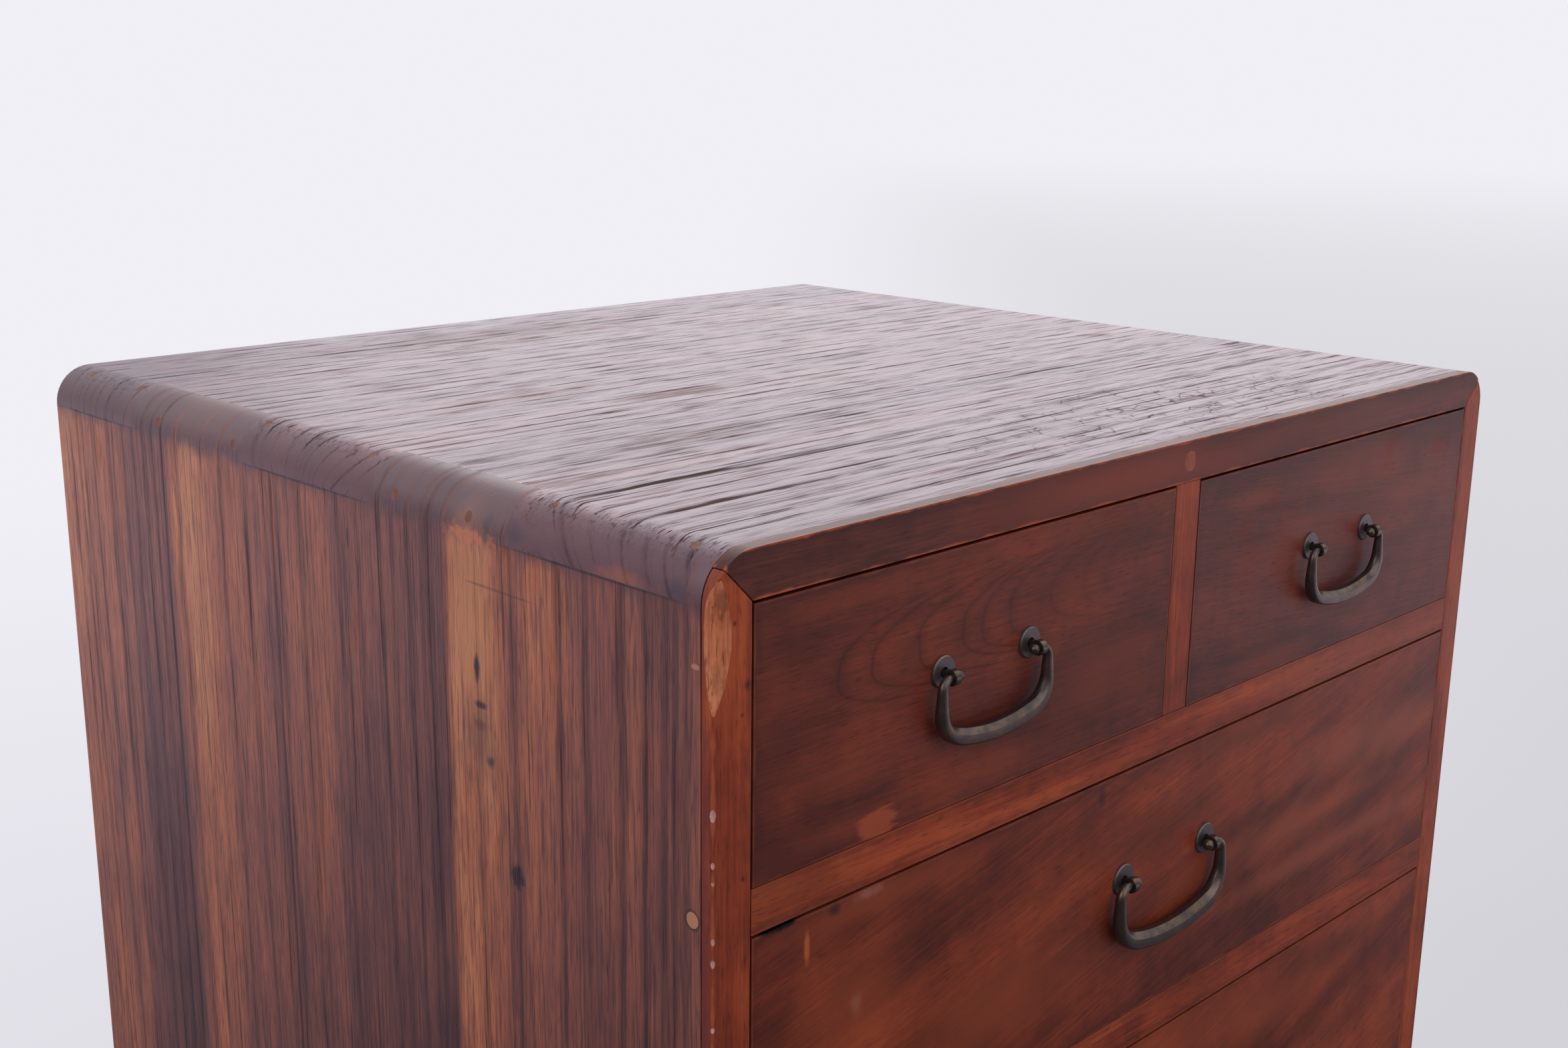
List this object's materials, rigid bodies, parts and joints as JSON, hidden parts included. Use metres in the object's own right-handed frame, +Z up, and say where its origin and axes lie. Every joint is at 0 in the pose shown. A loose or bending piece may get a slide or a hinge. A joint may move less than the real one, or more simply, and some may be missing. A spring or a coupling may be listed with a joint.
{
  "type": "chest of drawers",
  "caption": "Small wooden chest of drawers with finger-jointed corners, a mitred face frame and hanging bronze bail handles; all drawers slide.",
  "frame": {"origin": "middle of the flat underside that the chest stands on", "axes": "+X to the right seen from the front, +Y to the back, +Z up"},
  "size_m": [0.455, 0.407, 0.5],
  "materials": {
    "top_wood": "brushed open-grain softwood, grey-brown, satin",
    "side_wood": "stained straight-grained softwood with dark and honey streaks",
    "frame_hardwood": "oiled red-brown hardwood, satin, worn arrises",
    "drawer_face_wood": "oiled dark red-brown hardwood, satin",
    "case_softwood": "plain unfinished softwood, aged",
    "drawer_softwood": "planed pale softwood, unfinished",
    "peg_wood": "end grain of round pegs",
    "dark_bronze": "dark patinated bronze, rubbed bright on the edges"
  },
  "bodies": {
    "case": {"left_side": "side_wood", "right_side": "side_wood", "top_board": "top_wood", "bottom_board": "case_softwood", "back_panel": "case_softwood", "facing_left": "frame_hardwood", "facing_right": "frame_hardwood", "facing_top": "frame_hardwood", "facing_bottom": "frame_hardwood", "upper_rail": "frame_hardwood", "middle_rail": "frame_hardwood", "lower_rail": "frame_hardwood", "upper_shelf": "case_softwood", "middle_shelf": "case_softwood", "lower_shelf": "case_softwood", "divider_post": "frame_hardwood", "partition_board": "case_softwood", "case_pegs": "peg_wood", "facing_plug": "peg_wood", "back_pegs": "peg_wood"},
    "small_left_drawer": {"small_left_front": "drawer_face_wood", "small_left_left_side": "drawer_softwood", "small_left_right_side": "drawer_softwood", "small_left_back": "drawer_softwood", "small_left_base": "drawer_softwood", "small_left_rosettes": "dark_bronze", "small_left_split_pins": "dark_bronze"},
    "small_left_bail": {"small_left_bail": "dark_bronze"},
    "small_right_drawer": {"small_right_front": "drawer_face_wood", "small_right_left_side": "drawer_softwood", "small_right_right_side": "drawer_softwood", "small_right_back": "drawer_softwood", "small_right_base": "drawer_softwood", "small_right_rosettes": "dark_bronze", "small_right_split_pins": "dark_bronze"},
    "small_right_bail": {"small_right_bail": "dark_bronze"},
    "second_drawer": {"second_front": "drawer_face_wood", "second_left_side": "drawer_softwood", "second_right_side": "drawer_softwood", "second_back": "drawer_softwood", "second_base": "drawer_softwood", "second_rosettes": "dark_bronze", "second_split_pins": "dark_bronze"},
    "second_bail": {"second_bail": "dark_bronze"},
    "third_drawer": {"third_front": "drawer_face_wood", "third_left_side": "drawer_softwood", "third_right_side": "drawer_softwood", "third_back": "drawer_softwood", "third_base": "drawer_softwood", "third_rosettes": "dark_bronze", "third_split_pins": "dark_bronze"},
    "third_bail": {"third_bail": "dark_bronze"},
    "fourth_drawer": {"fourth_front": "drawer_face_wood", "fourth_left_side": "drawer_softwood", "fourth_right_side": "drawer_softwood", "fourth_back": "drawer_softwood", "fourth_base": "drawer_softwood", "fourth_rosettes": "dark_bronze", "fourth_split_pins": "dark_bronze"},
    "fourth_bail": {"fourth_bail": "dark_bronze"}
  },
  "joints": [
    {"name": "small_left_slide", "type": "slide", "parent": "case", "child": "small_left_drawer", "axis": [0, -1, 0], "range_m": [0, 0.3]},
    {"name": "small_left_swing", "type": "hinge", "parent": "small_left_drawer", "child": "small_left_bail", "pos_m": [-0.11, -0.2044, 0.44495], "axis": [-1, 0, 0], "range_deg": [-2, 182]},
    {"name": "small_right_slide", "type": "slide", "parent": "case", "child": "small_right_drawer", "axis": [0, -1, 0], "range_m": [0, 0.3]},
    {"name": "small_right_swing", "type": "hinge", "parent": "small_right_drawer", "child": "small_right_bail", "pos_m": [0.11, -0.2044, 0.44495], "axis": [-1, 0, 0], "range_deg": [-2, 182]},
    {"name": "second_slide", "type": "slide", "parent": "case", "child": "second_drawer", "axis": [0, -1, 0], "range_m": [0, 0.3]},
    {"name": "second_swing", "type": "hinge", "parent": "second_drawer", "child": "second_bail", "pos_m": [0, -0.204, 0.34145], "axis": [-1, 0, 0], "range_deg": [-2, 182]},
    {"name": "third_slide", "type": "slide", "parent": "case", "child": "third_drawer", "axis": [0, -1, 0], "range_m": [0, 0.3]},
    {"name": "third_swing", "type": "hinge", "parent": "third_drawer", "child": "third_bail", "pos_m": [0, -0.204, 0.22045], "axis": [-1, 0, 0], "range_deg": [-2, 182]},
    {"name": "fourth_slide", "type": "slide", "parent": "case", "child": "fourth_drawer", "axis": [0, -1, 0], "range_m": [0, 0.3]},
    {"name": "fourth_swing", "type": "hinge", "parent": "fourth_drawer", "child": "fourth_bail", "pos_m": [0, -0.204, 0.0852], "axis": [-1, 0, 0], "range_deg": [-2, 182]}
  ]
}
